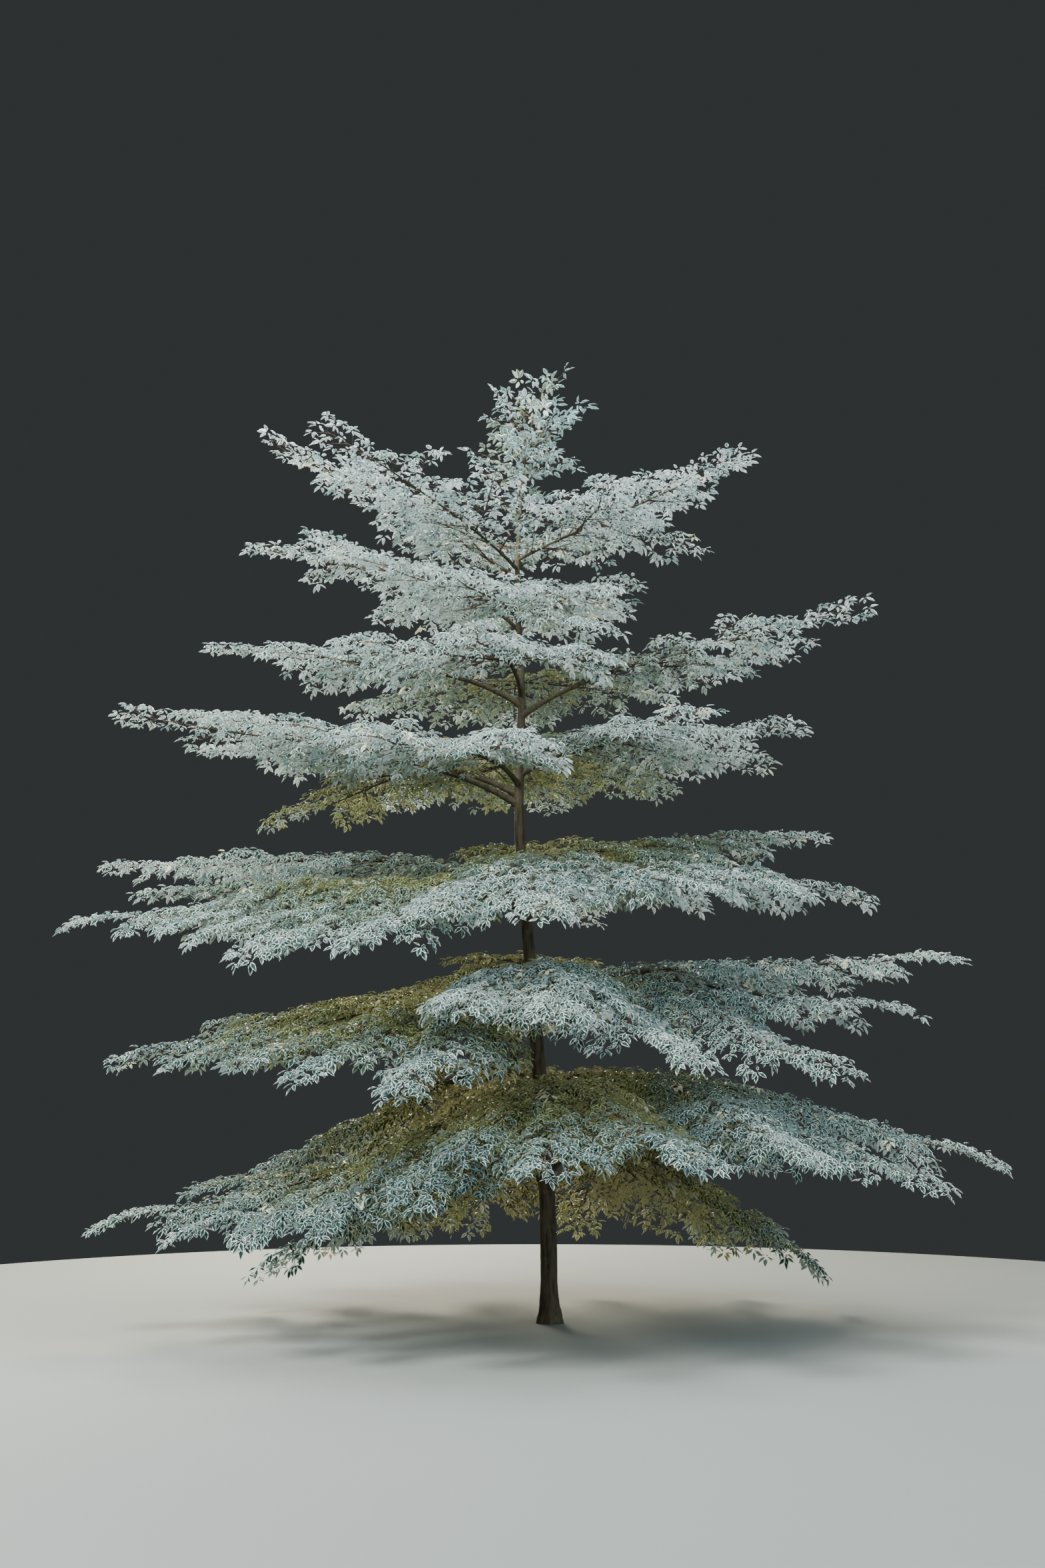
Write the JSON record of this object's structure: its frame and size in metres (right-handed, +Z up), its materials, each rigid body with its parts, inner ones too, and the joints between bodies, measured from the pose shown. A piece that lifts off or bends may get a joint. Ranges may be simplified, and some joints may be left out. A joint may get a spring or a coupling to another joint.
{
  "type": "wedding cake tree",
  "caption": "Slender upright tree whose wide, flat tiers of white-edged foliage stand apart up a bare trunk, with a small leader on top, for planting in open ground.",
  "frame": {"origin": "centre of the flat cut under the trunk, at ground level", "axes": "+Z up; seen from the front, which looks along +Y, +X is to the right"},
  "size_m": [7.4059, 6.2122, 7.9209],
  "materials": {
    "trunk_bark": "rough grey-brown bark",
    "bough_bark": "smoother brown bark",
    "foliage": "soft, matte grey-green leaves with creamy white edges"
  },
  "bodies": {
    "root": {"bough_tier3_front": "bough_bark", "bough_tier3_left": "bough_bark", "bough_tier3_right": "bough_bark", "bough_tier4_back_left": "bough_bark", "bough_tier4_front_left": "bough_bark", "bough_tier4_left": "bough_bark", "bough_tier4_right": "bough_bark", "bough_tier5_back_left": "bough_bark", "bough_tier5_front": "bough_bark", "bough_tier5_front_left": "bough_bark", "bough_tier5_left": "bough_bark", "bough_tier5_right": "bough_bark", "bough_tier6_front": "bough_bark", "bough_tier6_front_left": "bough_bark", "bough_tier6_left": "bough_bark", "bough_tier6_right": "bough_bark", "bough_tier7_front": "bough_bark", "bough_tier7_front_left": "bough_bark", "bough_tier7_left": "bough_bark", "bough_tier7_right": "bough_bark", "foliage_leader": "foliage", "foliage_tier1_back": "foliage", "foliage_tier1_front_left": "foliage", "foliage_tier1_front_right": "foliage", "foliage_tier1_left": "foliage", "foliage_tier2_back": "foliage", "foliage_tier2_front": "foliage", "foliage_tier2_left": "foliage", "foliage_tier2_right": "foliage", "foliage_tier3_back": "foliage", "foliage_tier3_front": "foliage", "foliage_tier3_left": "foliage", "foliage_tier3_right": "foliage", "foliage_tier4_back": "foliage", "foliage_tier4_back_left": "foliage", "foliage_tier4_front_left": "foliage", "foliage_tier4_left": "foliage", "foliage_tier4_low_left": "foliage", "foliage_tier4_right": "foliage", "foliage_tier5_back": "foliage", "foliage_tier5_back_left": "foliage", "foliage_tier5_front": "foliage", "foliage_tier5_front_left": "foliage", "foliage_tier5_left": "foliage", "foliage_tier5_right": "foliage", "foliage_tier6_back": "foliage", "foliage_tier6_front": "foliage", "foliage_tier6_front_left": "foliage", "foliage_tier6_left": "foliage", "foliage_tier6_right": "foliage", "foliage_tier7_back_left": "foliage", "foliage_tier7_back_right": "foliage", "foliage_tier7_front": "foliage", "foliage_tier7_front_left": "foliage", "foliage_tier7_left": "foliage", "foliage_tier7_right": "foliage", "foliage_tier8_back_left": "foliage", "foliage_tier8_back_right": "foliage", "trunk": "trunk_bark"}
  },
  "joints": []
}
